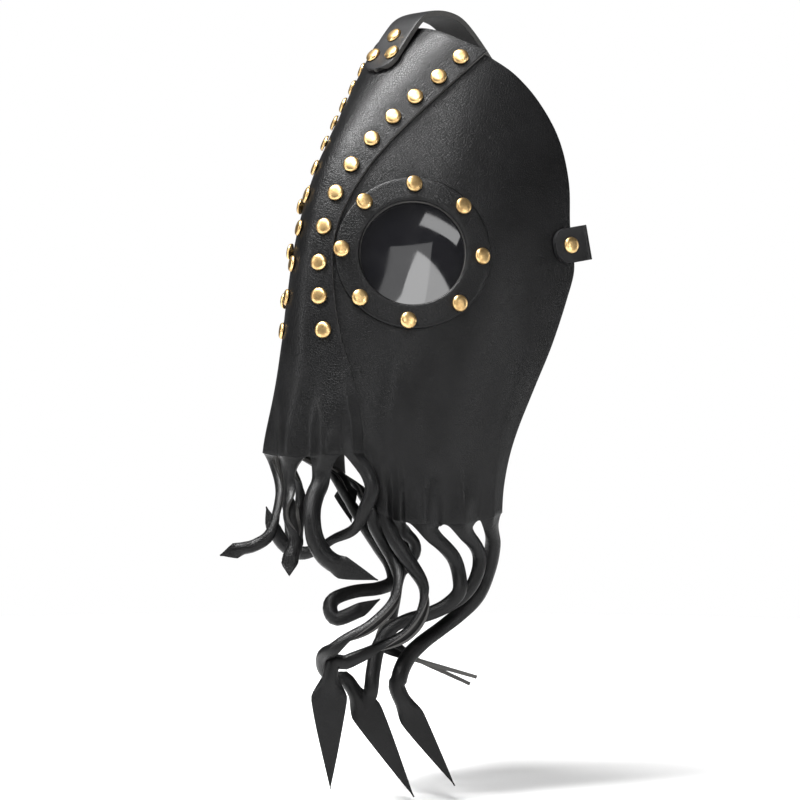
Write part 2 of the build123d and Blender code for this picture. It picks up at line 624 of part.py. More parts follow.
def tentacle(radius, route, tip, half_width, facing):
    """Curled strip with a flat pointed leaf at its end."""
    with BuildPart() as strip:
        with BuildLine() as middle:
            FilletPolyline(*route, radius=corner_radii(route, SHARPEST_BEND))
        path = middle.wires()[0]
        with BuildSketch(Plane(origin=path @ 0, z_dir=path % 0)):
            Circle(radius)
        sweep(path=path)
        base = Vector(*route[-1])
        length = (Vector(*tip) - base).length
        direction = (Vector(*tip) - base).normalized()
        side = Vector(*facing).cross(direction).normalized()
        with BuildSketch(Plane(origin=base, x_dir=direction, z_dir=direction.cross(side))):
            with BuildLine():
                widest = (length * LEAF_WIDEST, half_width)
                heel_corner = (-radius * 0.5, radius * 0.8)
                Line((heel_corner[0], -heel_corner[1]), heel_corner)
                Spline(heel_corner, widest, (length, 0), tangents=[(1, 0.4), (1, -0.35)])
                Spline((length, 0), (widest[0], -half_width), (heel_corner[0], -heel_corner[1]),
                       tangents=[(-1, -0.35), (-1, 0.4)])
            make_face()
        extrude(amount=LEAF_THICKNESS / 2, both=True)
    return strip.part


for name, (radius, route, tip, half_width, facing) in TENTACLES.items():
    finish(tentacle(radius, route, tip, half_width, facing), name)
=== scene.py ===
import math

import bmesh
import bpy
import numpy as np
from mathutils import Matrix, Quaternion, Vector


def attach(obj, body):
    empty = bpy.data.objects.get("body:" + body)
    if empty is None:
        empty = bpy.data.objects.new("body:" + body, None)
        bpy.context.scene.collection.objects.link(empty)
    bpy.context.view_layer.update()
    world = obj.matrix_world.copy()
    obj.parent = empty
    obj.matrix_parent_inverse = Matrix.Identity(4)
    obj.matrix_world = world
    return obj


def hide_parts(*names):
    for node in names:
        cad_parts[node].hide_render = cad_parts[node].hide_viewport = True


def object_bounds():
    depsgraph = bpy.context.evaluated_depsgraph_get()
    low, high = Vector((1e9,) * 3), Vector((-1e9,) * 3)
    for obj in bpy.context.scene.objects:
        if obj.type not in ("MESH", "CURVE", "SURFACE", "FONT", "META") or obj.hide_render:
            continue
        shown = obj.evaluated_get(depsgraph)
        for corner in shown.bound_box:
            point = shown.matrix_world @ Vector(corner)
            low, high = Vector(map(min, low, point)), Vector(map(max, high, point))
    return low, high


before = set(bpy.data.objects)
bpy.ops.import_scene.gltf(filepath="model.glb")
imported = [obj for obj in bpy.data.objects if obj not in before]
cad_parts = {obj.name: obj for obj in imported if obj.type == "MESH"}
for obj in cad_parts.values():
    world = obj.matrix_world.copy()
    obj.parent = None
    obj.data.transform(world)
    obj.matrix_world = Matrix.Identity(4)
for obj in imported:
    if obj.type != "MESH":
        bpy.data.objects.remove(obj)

cad_low, cad_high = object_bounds()

# Tentacle hood mask in black leather. Lengths in this script are millimetres, in the CAD's
# own frame; MM turns them to Blender's metres where a mesh, lamp or modifier is made.
MM = 0.001

# ---- leather stack and eye windows, as in the CAD ------------------------------------
PANEL_LEATHER = 1.8
LAYER_GAP = 0.15
RING_BACK = PANEL_LEATHER + LAYER_GAP
RING_FACE = RING_BACK + PANEL_LEATHER

EYE_ARC = 51.2
EYE_HOLE_RADIUS = 25.0
EYE_RING_RADIUS = 36.3
LENS_RADIUS = 27.4
LENS_FRONT = -0.2
LENS_BACK = -1.6
RIVET_DOME = 1.9

# Sections of the head form, from the jaw to the crown:
# height, nose Y, ridge half-width, cheek X and Y, temple X and Y, back X and Y
SECTIONS = np.array([
    (-135, -8, 21, 36, 13, 55, 49, 60, 100),
    (-110, -8, 20, 35, 14, 56, 50, 62, 103),
    (-80, -6, 16, 34, 15, 60, 53, 67, 108),
    (-50, -3, 12, 32, 19, 65, 57, 73, 113),
    (-20, 0, 9, 31, 22, 68, 61, 76, 117),
    (10, 6, 8, 31, 27, 67, 66, 77, 120),
    (40, 17, 9, 32, 40, 64, 74, 74, 123),
    (70, 36, 11, 32, 55, 58, 84, 68, 125),
    (98, 58, 14, 31, 69, 52, 93, 60, 127),
    (112, 72, 16, 30, 77, 50, 99, 58, 130),
], float)

# Edges of the leather pieces: height and distance from the centre line, along the leather
CENTRE_EDGE = np.array([
    (-98, 38), (-80, 35.5), (-60, 29.5), (-40, 22), (-15, 16), (5, 13.5), (20, 14.5), (40, 20),
    (60, 28.5), (80, 39.5), (100, 50),
], float)
SIDE_FRONT_EDGE = np.array([
    (-130, 42), (-98, 38), (-80, 25), (-60, 15), (-35, 7), (-5, 3), (30, 3), (50, 7),
    (70, 15.5), (90, 28.5), (102, 33),
], float)
SIDE_BACK_EDGE = np.array([
    (-130, 110.5), (-95, 111.5), (-65, 119.5), (-40, 127.5), (-20, 132.5), (-6, 134), (12, 128),
    (35, 121), (55, 108), (74, 88), (88, 68), (97, 50),
], float)
# Top and bottom edges: share of the width from front to back, height
CENTRE_TOP = np.array([(0, 98.5), (0.25, 107), (0.5, 111), (0.75, 107), (1, 98.5)], float)
CENTRE_BOTTOM = np.array([(0, -95), (0.5, -97), (1, -95)], float)
SIDE_TOP = np.array([(0, 101), (1, 97)], float)
LEFT_BOTTOM = np.array([(0, -117), (0.15, -124), (0.3, -127), (0.6, -129), (0.85, -128), (1, -124)], float)
RIGHT_BOTTOM = np.array([(0, -98), (0.7, -98), (0.9, -103), (1, -108)], float)

# Rivets of the two seams: heights, and the share of the overlap from its front edge
SEAM_RIVETS = (95, 85, 75, 65, 54, 41.5, 28, 12, -5, -21, -37)
SEAM_SHARE = 0.47
EYE_RIVET_RADIUS = 32.6
EYE_RIVETS = 8
EYE_RIVET_TURN = -2.5

# Strips that each panel's bottom edge is cut into: the share of the width where each one
# ends, then its tentacle. Tentacles: radius of the curl, route, tip of the leaf, half-width
# of the leaf, the direction that the leaf faces, and an extra turn of the curl in degrees
FORWARD = (0.74, -0.67, 0)
UPWARD = (0.15, 0.28, 0.95)
RIGHT_FORWARD = (-0.74, -0.67, 0)
RIGHT_UPWARD = (-0.15, 0.28, 0.95)
CENTRE_STRIPS = [
    (0.375, "tentacle_centre_1", 3.0, [(-16, -3, -95), (-11, -6, -108), (-5, -12, -119),
        (0, -21, -132), (-3, -27, -138), (-6, -33, -140)], (-12, -41, -143), 4.0, FORWARD, 40),
    (0.646, "tentacle_centre_2", 4.0, [(-1, -7, -96), (1, -10, -110), (6, -14, -123),
        (10, -15, -135), (13, -19, -145)], (15, -21, -152), 4.0, FORWARD, 120),
    (0.875, "tentacle_centre_3", 4.5, [(23, 0, -95), (20, -3, -106), (19, -8, -114),
        (22, -11, -125), (25, -11, -137), (30, -7, -146)], (45, 8, -154), 5.5, FORWARD, -60),
    (1.0, "tentacle_centre_4", 3.5, [(29, 6, -95), (35, 10, -104), (38, 10, -112), (34, 8, -121),
        (25, 10, -130), (13, 9, -135), (5, 5, -140), (-3, 1, -142), (-10, -3, -139),
        (-14, -7, -131)], (-18, -8, -121), 3.0, FORWARD, 90),
]
LEFT_STRIPS = [
    (0.075, "tentacle_left_2", 3.5, [(31, 17, -115), (31, 19, -128), (34, 21, -137),
        (39, 22, -145), (47, 18, -155), (48, 13, -165), (45, 3, -174), (40, -8, -180),
        (36, -13, -185), (28, -12, -190), (23, -6, -197), (24, 1, -202), (28, 7, -206)],
        (48, 28, -257), 7.5, FORWARD, 150),
    (0.245, "tentacle_left_1", 3.5, [(39, 20, -121), (45, 21, -137), (51, 23, -148),
        (55, 27, -159), (56, 24, -170), (52, 18, -179), (45, 6, -185), (37, -4, -191),
        (33, -11, -197)], (34, -12, -251), 8.5, FORWARD, 130),
    (0.36, "tentacle_left_6", 3.0, [(43, 28, -124), (38, 34, -131), (37, 38, -139), (35, 37, -147)],
        (29, 32, -157), 3.0, FORWARD, 40),
    (0.66, "tentacle_left_3", 3.5, [(50, 42, -125), (51, 50, -142), (52, 53, -151), (54, 51, -160),
        (50, 47, -166), (45, 40, -170), (39, 31, -173), (35, 23, -178), (34, 17, -186),
        (37, 12, -196), (40, 8, -206)], (39, 5, -217), 3.5, FORWARD, 60),
    (0.88, "tentacle_left_4", 3.5, [(54, 61, -124), (51, 69, -144), (51, 67, -155), (49, 61, -164),
        (44, 54, -170), (38, 47, -174), (31, 38, -177), (25, 32, -180), (23, 31, -186),
        (24, 36, -190)], (44, 73, -203), 5.0, UPWARD, 0),
    (1.0, "tentacle_left_5", 4.0, [(57, 75, -121), (49, 80, -141), (46, 79, -152), (44, 73, -163),
        (39, 65, -172), (36, 55, -179), (36, 43, -185), (36, 34, -192), (39, 27, -201),
        (40, 27, -211)], (59, 44, -252), 6.0, FORWARD, 60),
]
# The wearer's right panel is built as a left one and mirrored, so these X values are mirrored too
RIGHT_STRIPS = [
    (0.217, "tentacle_right_1", 3.5, [(36, 17, -95), (31, 13, -115), (25, 11, -125),
        (21, 10, -136), (20, 9, -144)], (20, 8, -153), 4.0, RIGHT_FORWARD, 0),
    (0.458, "tentacle_right_2", 3.5, [(45, 33, -94), (38, 29, -117), (35, 25, -127), (33, 23, -138)],
        (32, 22, -148), 4.0, RIGHT_FORWARD, 0),
    (0.68, "tentacle_right_3", 3.5, [(51, 50, -94), (40, 51, -105), (33, 50, -112), (24, 50, -122),
        (14, 49, -131), (3, 50, -141), (-8, 49, -149), (-17, 43, -156), (-20, 31, -159),
        (-18, 17, -160), (-17, 5, -163), (-18, 1, -168), (-22, 2, -173), (-27, 10, -170)],
        (-34, 19, -164), 3.5, RIGHT_FORWARD, 60),
    (0.855, "tentacle_right_4", 3.5, [(55, 64, -94), (49, 64, -106), (42, 62, -113)],
        (34, 60, -131), 6.0, RIGHT_FORWARD, 0),
    (1.0, "tentacle_right_5", 3.5, [(57, 73, -101), (46, 72, -111), (34, 70, -122), (19, 71, -132),
        (6, 71, -140), (-1, 67, -149), (-3, 60, -158), (-5, 56, -168), (-5, 54, -180),
        (-9, 55, -191)], (-31, 81, -208), 5.0, RIGHT_UPWARD, 0),
]


# ---- the head form -------------------------------------------------------------------
# Steps to either side of a place, over which the form's normal is taken
SHARE_NUDGE = 0.001
HEIGHT_NUDGE = 0.5


def along(table, at):
    """Smooth curve through the (at, value...) rows of a table, clamped at its ends."""
    keys = table[:, 0]
    values = table[:, 1:]
    slopes = np.empty_like(values)
    slopes[1:-1] = (values[2:] - values[:-2]) / (keys[2:] - keys[:-2])[:, None]
    slopes[0] = (values[1] - values[0]) / (keys[1] - keys[0])
    slopes[-1] = (values[-1] - values[-2]) / (keys[-1] - keys[-2])
    at = np.clip(np.asarray(at, float), keys[0], keys[-1])
    low = np.clip(np.searchsorted(keys, at) - 1, 0, len(keys) - 2)
    span = (keys[low + 1] - keys[low])[..., None]
    t = ((at - keys[low])[..., None]) / span
    result = (2 * t**3 - 3 * t**2 + 1) * values[low] + (t**3 - 2 * t**2 + t) * span * slopes[low]
    return result + (3 * t**2 - 2 * t**3) * values[low + 1] + (t**3 - t**2) * span * slopes[low + 1]


def section_curve(share, first, second, third, fourth, fifth):
    """Clamped cubic B-spline of five control values, at share 0 (nose) to 1 (back)."""
    early = (second + third) / 2
    late = (third + fourth) / 2
    middle = (early + late) / 2
    front = share < 0.5
    t = np.where(front, 2 * share, 2 * share - 1)
    nearer = (first, second, early, middle)
    farther = (middle, late, fourth, fifth)
    a, b, c, d = (np.where(front, x, y) for x, y in zip(nearer, farther))
    return (1 - t) ** 3 * a + 3 * t * (1 - t) ** 2 * b + 3 * t**2 * (1 - t) * c + t**3 * d


def form_point(share, height):
    """Points of the form: share runs from -1 (wearer's right, back) through 0 (nose) to 1."""
    share, height = np.broadcast_arrays(np.asarray(share, float), np.asarray(height, float))
    section = np.moveaxis(along(SECTIONS, height), -1, 0)
    nose, ridge, cheek_x, cheek_y, temple_x, temple_y, back_x, back_y = section
    side = np.abs(share)
    x = section_curve(side, 0 * ridge, ridge, cheek_x, temple_x, back_x)
    y = section_curve(side, nose, nose, cheek_y, temple_y, back_y)
    return np.stack([np.sign(share) * x, y, height], -1)


def unit(vectors):
    """Vectors of length 1."""
    return vectors / np.linalg.norm(vectors, axis=-1, keepdims=True)


def form_normal(share, height):
    """Outward normals of the form."""
    across = form_point(share + SHARE_NUDGE, height) - form_point(share - SHARE_NUDGE, height)
    upward = form_point(share, height + HEIGHT_NUDGE) - form_point(share, height - HEIGHT_NUDGE)
    return unit(np.cross(across, upward))


# Table of distances along the leather: heights 1 mm apart, and shares of the section
ARC_HEIGHTS = np.arange(-135.0, 113.0)
ARC_SHARES = np.linspace(0, 1, 61)


def section_arcs():
    """Distances along the leather from the centre line to ARC_SHARES, at each of ARC_HEIGHTS."""
    rows = form_point(ARC_SHARES[None, :], ARC_HEIGHTS[:, None])
    steps = np.linalg.norm(np.diff(rows, axis=1), axis=-1)
    return np.concatenate([np.zeros((len(ARC_HEIGHTS), 1)), np.cumsum(steps, axis=1)], axis=1)


ARCS = section_arcs()


def arcs_at(height):
    """Distances along the leather of ARC_SHARES, at any height."""
    place = np.clip(np.asarray(height, float) - ARC_HEIGHTS[0], 0, len(ARC_HEIGHTS) - 1.001)
    low = place.astype(int)
    part = (place - low)[..., None]
    return ARCS[low] * (1 - part) + ARCS[low + 1] * part


def share_at(arc, height):
    """Share of the section at a distance along the leather from the centre line."""
    arc, height = np.broadcast_arrays(np.asarray(arc, float), np.asarray(height, float))
    lengths = arcs_at(height)
    low = np.clip((lengths <= np.abs(arc)[..., None]).sum(-1) - 1, 0, len(ARC_SHARES) - 2)
    before = np.take_along_axis(lengths, low[..., None], -1)[..., 0]
    after = np.take_along_axis(lengths, low[..., None] + 1, -1)[..., 0]
    share = ARC_SHARES[low] + (np.abs(arc) - before) / (after - before) * ARC_SHARES[1]
    return np.sign(arc) * np.minimum(share, 1)


def lifted(share, height, lift):
    """Points at a lift above the form."""
    return form_point(share, height) + form_normal(share, height) * np.asarray(lift)[..., None]


# Search for the form's point behind a place: the section's length for a first guess, the
# rounds of Newton's method and its small steps
SECTION_LENGTH = 150
NEWTON_ROUNDS = 8
SHARE_STEP = 1e-4
HEIGHT_STEP = 1e-2

# The eye's own axes: across along the leather, up, and straight out of the face
EYE_NUDGE = 0.01
EYE_SHARE = share_at(EYE_ARC, 0.0)
EYE_ORIGIN = form_point(EYE_SHARE, 0.0)
EYE_OUT = form_normal(EYE_SHARE, 0.0)
EYE_ACROSS = unit(form_point(EYE_SHARE + EYE_NUDGE, 0.0) - form_point(EYE_SHARE - EYE_NUDGE, 0.0))
EYE_UP = np.cross(EYE_OUT, EYE_ACROSS)


def eye_place(points):
    """Coordinates of points in the eye's plane."""
    return (points - EYE_ORIGIN) @ EYE_ACROSS, (points - EYE_ORIGIN) @ EYE_UP


def form_at_eye(x, y):
    """Share and height of the form's points straight behind places in the eye's plane."""
    share = EYE_SHARE + x / SECTION_LENGTH
    height = y + 0 * x
    for _ in range(NEWTON_ROUNDS):
        here_x, here_y = eye_place(form_point(share, height))
        share_x, share_y = eye_place(form_point(share + SHARE_STEP, height))
        height_x, height_y = eye_place(form_point(share, height + HEIGHT_STEP))
        a = (share_x - here_x) / SHARE_STEP
        b = (height_x - here_x) / HEIGHT_STEP
        c = (share_y - here_y) / SHARE_STEP
        d = (height_y - here_y) / HEIGHT_STEP
        determinant = a * d - b * c
        share = share + (d * (x - here_x) - b * (y - here_y)) / determinant
        height = height + (a * (y - here_y) - c * (x - here_x)) / determinant
    return share, height


# ---- materials -----------------------------------------------------------------------
# Scales are in waves or cells per metre, bump distances in metres
NOISE_ROUGHNESS = 0.55
PEBBLE_SCALE = 900
PEBBLE_CREASE = 0.12
FINE_GRAIN_SCALE = 1400
LEATHER_SPECULAR = 0.16


def new_material(name):
    """Material with its node tree, its Principled shader and its coordinates."""
    material = bpy.data.materials.new(name)
    material.use_nodes = True
    shader = material.node_tree.nodes["Principled BSDF"]
    coordinates = material.node_tree.nodes.new("ShaderNodeTexCoord")
    return material, shader, coordinates.outputs["Object"]


def noise(material, coordinates, scale, detail):
    """Noise factor over the piece; scale is in waves per metre."""
    node = material.node_tree.nodes.new("ShaderNodeTexNoise")
    node.inputs["Scale"].default_value = scale
    node.inputs["Detail"].default_value = detail
    node.inputs["Roughness"].default_value = NOISE_ROUGHNESS
    material.node_tree.links.new(coordinates, node.inputs["Vector"])
    return node.outputs["Fac"]


def mapped(material, factor, low, high, start=0.3, end=0.7):
    """A factor's start to end, turned to low to high."""
    node = material.node_tree.nodes.new("ShaderNodeMapRange")
    material.node_tree.links.new(factor, node.inputs["Value"])
    for socket, value in (("From Min", start), ("From Max", end), ("To Min", low), ("To Max", high)):
        node.inputs[socket].default_value = value
    return node.outputs["Result"]


def ramp(material, factor, stops):
    """Colour over a factor, from (position, colour) stops."""
    node = material.node_tree.nodes.new("ShaderNodeValToRGB")
    material.node_tree.links.new(factor, node.inputs["Fac"])
    elements = node.color_ramp.elements
    for element, (position, colour) in zip(elements, (stops[0], stops[-1])):
        element.position = position
        element.color = (*colour, 1)
    for position, colour in stops[1:-1]:
        elements.new(position).color = (*colour, 1)
    return node.outputs["Color"]


def bump(material, factor, strength, distance, under=None):
    """Bump from a factor, on top of another bump."""
    node = material.node_tree.nodes.new("ShaderNodeBump")
    node.inputs["Strength"].default_value = strength
    node.inputs["Distance"].default_value = distance
    material.node_tree.links.new(factor, node.inputs["Height"])
    if under is not None:
        material.node_tree.links.new(under, node.inputs["Normal"])
    return node.outputs["Normal"]


def pebbles(material, coordinates, scale):
    """Cells of a leather grain: 0 in the creases, 1 on the pebbles."""
    node = material.node_tree.nodes.new("ShaderNodeTexVoronoi")
    node.feature = "DISTANCE_TO_EDGE"
    node.inputs["Scale"].default_value = scale
    material.node_tree.links.new(coordinates, node.inputs["Vector"])
    return mapped(material, node.outputs["Distance"], 0, 1, 0.0, PEBBLE_CREASE)


def leather(name, dark, light, rough_low, rough_high, grain):
    """Finished leather: pebbled grain, slow changes of colour and gloss."""
    material, shader, coordinates = new_material(name)
    link = material.node_tree.links.new
    slow = noise(material, coordinates, 28, 3)
    fine = noise(material, coordinates, FINE_GRAIN_SCALE, 2)
    link(ramp(material, slow, [(0.3, dark), (0.75, light)]), shader.inputs["Base Color"])
    link(mapped(material, slow, rough_low, rough_high), shader.inputs["Roughness"])
    creases = bump(material, noise(material, coordinates, 60, 3), 0.25, 0.0008)
    cells = bump(material, pebbles(material, coordinates, PEBBLE_SCALE), grain, 0.0002, creases)
    link(bump(material, fine, grain, 0.00012, cells), shader.inputs["Normal"])
    shader.inputs["Specular IOR Level"].default_value = LEATHER_SPECULAR
    return material


def brass(name, bright, tarnish, rough_low, rough_high):
    """Aged metal: tarnish in patches, fine scratches."""
    material, shader, coordinates = new_material(name)
    link = material.node_tree.links.new
    patches = noise(material, coordinates, 260, 4)
    link(ramp(material, patches, [(0.35, tarnish), (0.62, bright)]), shader.inputs["Base Color"])
    link(mapped(material, patches, rough_high, rough_low), shader.inputs["Roughness"])
    link(bump(material, noise(material, coordinates, 1800, 3), 0.15, 0.0001), shader.inputs["Normal"])
    shader.inputs["Metallic"].default_value = 1.0
    return material


def lens_material():
    """Smoked glossy plastic, with faint dust in its gloss."""
    material, shader, coordinates = new_material("smoked_lens")
    link = material.node_tree.links.new
    dust = noise(material, coordinates, 90, 5)
    colour = ramp(material, dust, [(0.3, (0.004, 0.004, 0.005)), (0.8, (0.008, 0.008, 0.009))])
    link(colour, shader.inputs["Base Color"])
    link(mapped(material, dust, 0.02, 0.06), shader.inputs["Roughness"])
    shader.inputs["IOR"].default_value = 1.5
    return material


def floor_material():
    """Pale studio sweep with a trace of unevenness."""
    material, shader, coordinates = new_material("studio_sweep")
    link = material.node_tree.links.new
    patches = noise(material, coordinates, 3, 3)
    colour = ramp(material, patches, [(0.3, (0.86, 0.86, 0.86)), (0.7, (0.9, 0.9, 0.9))])
    link(colour, shader.inputs["Base Color"])
    shader.inputs["Roughness"].default_value = 0.9
    return material


PANEL = leather("black_leather", (0.0015, 0.0015, 0.0016), (0.004, 0.004, 0.0043), 0.3, 0.4, 0.36)
EDGE = leather("cut_leather_edge", (0.035, 0.034, 0.033), (0.075, 0.073, 0.07), 0.5, 0.7, 0.3)
FLESH = leather("flesh_side_leather", (0.010, 0.010, 0.010), (0.024, 0.023, 0.023), 0.5, 0.7, 0.3)
STRAP = leather("strap_leather", (0.005, 0.005, 0.0053), (0.014, 0.014, 0.0147), 0.34, 0.5, 0.2)
BRASS = brass("rivet_brass", (0.66, 0.46, 0.21), (0.3, 0.19, 0.08), 0.27, 0.42)
BUCKLE = brass("buckle_brass", (0.62, 0.42, 0.18), (0.2, 0.12, 0.05), 0.28, 0.48)
LENS = lens_material()


# ---- meshes --------------------------------------------------------------------------
# A turned shape closes at this small radius round its axis
AXIS_RADIUS = 0.05
CORNER_ANGLE = math.radians(50)
PANEL_BEVEL = 0.3
STRAP_BEVEL = 0.5
PLY_BEVEL = 0.45


def new_piece(name, points, faces, materials, body, replaced):
    """Smooth-shaded object from millimetre points; it rides on a body and stands for CAD nodes."""
    mesh = bpy.data.meshes.new(name)
    mesh.from_pydata((np.asarray(points) * MM).tolist(), [], faces)
    mesh.validate()
    mesh.polygons.foreach_set("use_smooth", [True] * len(mesh.polygons))
    for material in materials:
        mesh.materials.append(material)
    piece = bpy.data.objects.new(name, mesh)
    bpy.context.scene.collection.objects.link(piece)
    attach(piece, body)
    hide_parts(*replaced)
    return piece


def flipped(points, faces):
    """The same mesh for the wearer's right side."""
    return np.asarray(points) * (-1, 1, 1), [tuple(reversed(face)) for face in faces]


def grid_faces(rows, columns, first=0, closed=False):
    """Quads of a grid of points, row by row; a closed grid joins its last column to its first."""
    faces = []
    for row in range(rows - 1):
        for column in range(columns if closed else columns - 1):
            following = (column + 1) % columns
            here = first + row * columns
            below = here + columns
            faces.append((here + column, below + column, below + following, here + following))
    return faces


def soften(piece, width):
    """Rounded corners, where faces meet at more than CORNER_ANGLE."""
    edge = piece.modifiers.new("edges", "BEVEL")
    edge.width = width * MM
    edge.segments = 2
    edge.limit_method = "ANGLE"
    edge.angle_limit = CORNER_ANGLE


def give_thickness(piece, thickness, bevel):
    """Leather of a real thickness behind the face, with a cut edge all round."""
    shell = piece.modifiers.new("thickness", "SOLIDIFY")
    shell.thickness = thickness * MM
    shell.offset = -1
    shell.material_offset = 2
    shell.material_offset_rim = 1
    soften(piece, bevel)


# ---- panels and their tentacles ------------------------------------------------------
# A panel's grid has SEGMENTS columns above each strip. A strip starts as flat as the panel,
# narrows under an arch ARCH_HEIGHT high and curls to CURL within ROOT_BLEND.
SEGMENTS = 12
PANEL_ROWS = 100
STRIP_STEP = 2.0
ROUTE_SAMPLES = 24
CURL = math.radians(205)
FLAT = 0.3
ARCH_HEIGHT = 13.0
ROOT_BLEND = 24.0
# Within ROOT_HOLD a strip still has the shape of the panel's edge; its first rows are close together
ROOT_HOLD = 9.0
ROOT_STEPS = (0.0, 0.08, 0.3, 0.7, 1.3)
# Leaf: where it is widest, as a share of its length, half-width of its point, power of its taper
LEAF_WIDEST = 0.22
LEAF_POINT = 0.3
LEAF_TAPER = 1.15
# Dents round the rivets, and the short folds that rise from the arches
DENT_DEPTH = 0.45
DENT_REACH = 6.5
FOLD_DEPTH = 2.2
FOLD_REACH = 20.0
FOLD_TAIL = 0.08
# A strip this share of the hem or wider pulls folds of the full depth
WIDE_STRIP = 0.3
# How far the leather round the eye lies behind the middle of the eye, at most
EYE_DEPTH = 40.0
# Long folds: start, end, half-width, and height, which is negative in a hollow
SIDE_FOLDS = [
    ((66, 82, -42), (57, 62, -118), 9, 2.2),
    ((72, 101, -60), (62, 92, -118), 6, -1.6),
    ((54, 40, -44), (48, 34, -100), 8, -1.4),
    ((40, 24, -48), (38, 20, -92), 5, 1.2),
]
CENTRE_FOLDS = [
    ((-9, -2, -44), (-5, -6, -90), 6, 1.2),
    ((12, -1, -46), (12, -4, -90), 5, -1.2),
    ((22, 5, -62), (24, 3, -92), 5, 1.4),
]


def smoothstep(t):
    """0 to 1 with no jolt at either end."""
    t = np.clip(t, 0, 1)
    return t * t * (3 - 2 * t)


def smooth_route(points, step):
    """Points on a Catmull-Rom curve through a route: close together at its root, then at even steps."""
    route = np.asarray(points, float)
    ends = np.vstack([2 * route[0] - route[1], route, 2 * route[-1] - route[-2]])
    t = np.linspace(0, 1, ROUTE_SAMPLES, endpoint=False)[:, None]
    pieces = []
    for p, q, r, s in zip(ends, ends[1:], ends[2:], ends[3:]):
        square = 2 * p - 5 * q + 4 * r - s
        cube = 3 * q - p - 3 * r + s
        pieces.append(0.5 * (2 * q + (r - p) * t + square * t**2 + cube * t**3))
    dense = np.vstack(pieces + [route[-1:]])
    lengths = np.concatenate([[0], np.cumsum(np.linalg.norm(np.diff(dense, axis=0), axis=1))])
    even = np.concatenate([ROOT_STEPS, np.arange(step, lengths[-1] - step / 2, step), lengths[-1:]])
    return np.stack([np.interp(even, lengths, dense[:, axis]) for axis in range(3)], 1), even


def carried_frames(path, start_normal):
    """Tangents and normals along a path, turned no more than it turns."""
    tangents = unit(np.gradient(path, axis=0))
    normal = start_normal - tangents[0] * (start_normal @ tangents[0])
    normals = [normal / np.linalg.norm(normal)]
    for tangent in tangents[1:]:
        normal = normals[-1] - tangent * (normals[-1] @ tangent)
        normals.append(normal / np.linalg.norm(normal))
    return tangents, np.array(normals)


def turned(normals, tangents, angles):
    """Normals turned about their tangents by angles."""
    sides = np.cross(tangents, normals)
    return normals * np.cos(angles)[:, None] + sides * np.sin(angles)[:, None]


def tentacle_rows(root_row, root_normal, radius, route, tip, half_width, facing, extra_turn):
    """Rows of points of one strip, from the panel's edge along its curl to its leaf's tip."""
    path, lengths = smooth_route(list(route) + [tip], STRIP_STEP)
    total = lengths[-1]
    leaf_length = np.linalg.norm(np.subtract(tip, route[-1]))
    leaf_start = total - leaf_length
    middle = root_row.mean(0)
    # The path starts at the middle of the strip's root and joins the given route
    path = path + (middle - path[0]) * (1 - smoothstep(lengths / ROOT_BLEND))[:, None]
    tangents, normals = carried_frames(path, root_normal)
    facing = np.asarray(facing, float)
    aim = facing - tangents[-1] * (facing @ tangents[-1])
    across = np.cross(tangents[-1], normals[-1])
    to_leaf = math.atan2(aim @ across, aim @ normals[-1])
    # Between its root and its leaf the curl turns about the path, to face the right way at the leaf
    free = np.clip((lengths - ARCH_HEIGHT) / max(leaf_start - ARCH_HEIGHT, 1), 0, 1)
    swing = np.sin(np.pi * free) ** 2
    normals = turned(normals, tangents, to_leaf * smoothstep(free) + math.radians(extra_turn) * swing)
    sides = np.cross(normals, tangents)

    # Half-width and bend of the strip's section at every row
    along_leaf = np.clip((lengths - leaf_start) / leaf_length, 0, 1)
    opening = smoothstep(along_leaf / LEAF_WIDEST)
    taper = np.clip((along_leaf - LEAF_WIDEST) / (1 - LEAF_WIDEST), 0, 1)
    root_half = np.linalg.norm(root_row[-1] - root_row[0]) / 2
    arch = np.sqrt(1 - (1 - np.clip(lengths / ARCH_HEIGHT, 0, 1)) ** 2)
    half = radius + (half_width - radius) * opening
    half = np.maximum(half * (1 - taper ** LEAF_TAPER), LEAF_POINT)
    half = root_half + (half - root_half) * arch
    angle = FLAT + (CURL - FLAT) * smoothstep(lengths / ROOT_BLEND) * (1 - opening)
    bend = half / np.sin(np.minimum(angle, np.pi) / 2)
    turn = angle[:, None] * np.linspace(-0.5, 0.5, len(root_row))[None, :]
    centre = np.sin(angle / 2) / (angle / 2)
    outward = bend[:, None] * (np.cos(turn) - centre[:, None])
    sideways = bend[:, None] * np.sin(turn)
    curled = path[:, None] + outward[..., None] * normals[:, None] + sideways[..., None] * sides[:, None]

    # The first rows keep the shape of the panel's edge and pass into the curled ones
    narrowed = (half / root_half)[:, None, None]
    straight = path[:, None] + (root_row - middle)[None] * narrowed
    blend = smoothstep(lengths / ROOT_HOLD)[:, None, None]
    return (straight * (1 - blend) + curled * blend)[1:]


def rivet_dents(points, rivets):
    """How far the leather is drawn in round rivets, at points of the form."""
    depth = np.zeros(points.shape[:-1])
    for rivet in rivets:
        away = np.linalg.norm(points - rivet, axis=-1)
        depth += DENT_DEPTH * np.exp(-((away / DENT_REACH) ** 2))
    return depth


def seam_rivets(sides):
    """Places of the seam rivets on the form, on the sides named by their signs."""
    heights = np.array(SEAM_RIVETS, float)
    inner = along(SIDE_FRONT_EDGE, heights)[:, 0]
    outer = along(CENTRE_EDGE, heights)[:, 0]
    arcs = inner + SEAM_SHARE * (outer - inner)
    return [place for side in sides for place in form_point(share_at(side * arcs, heights), heights)]


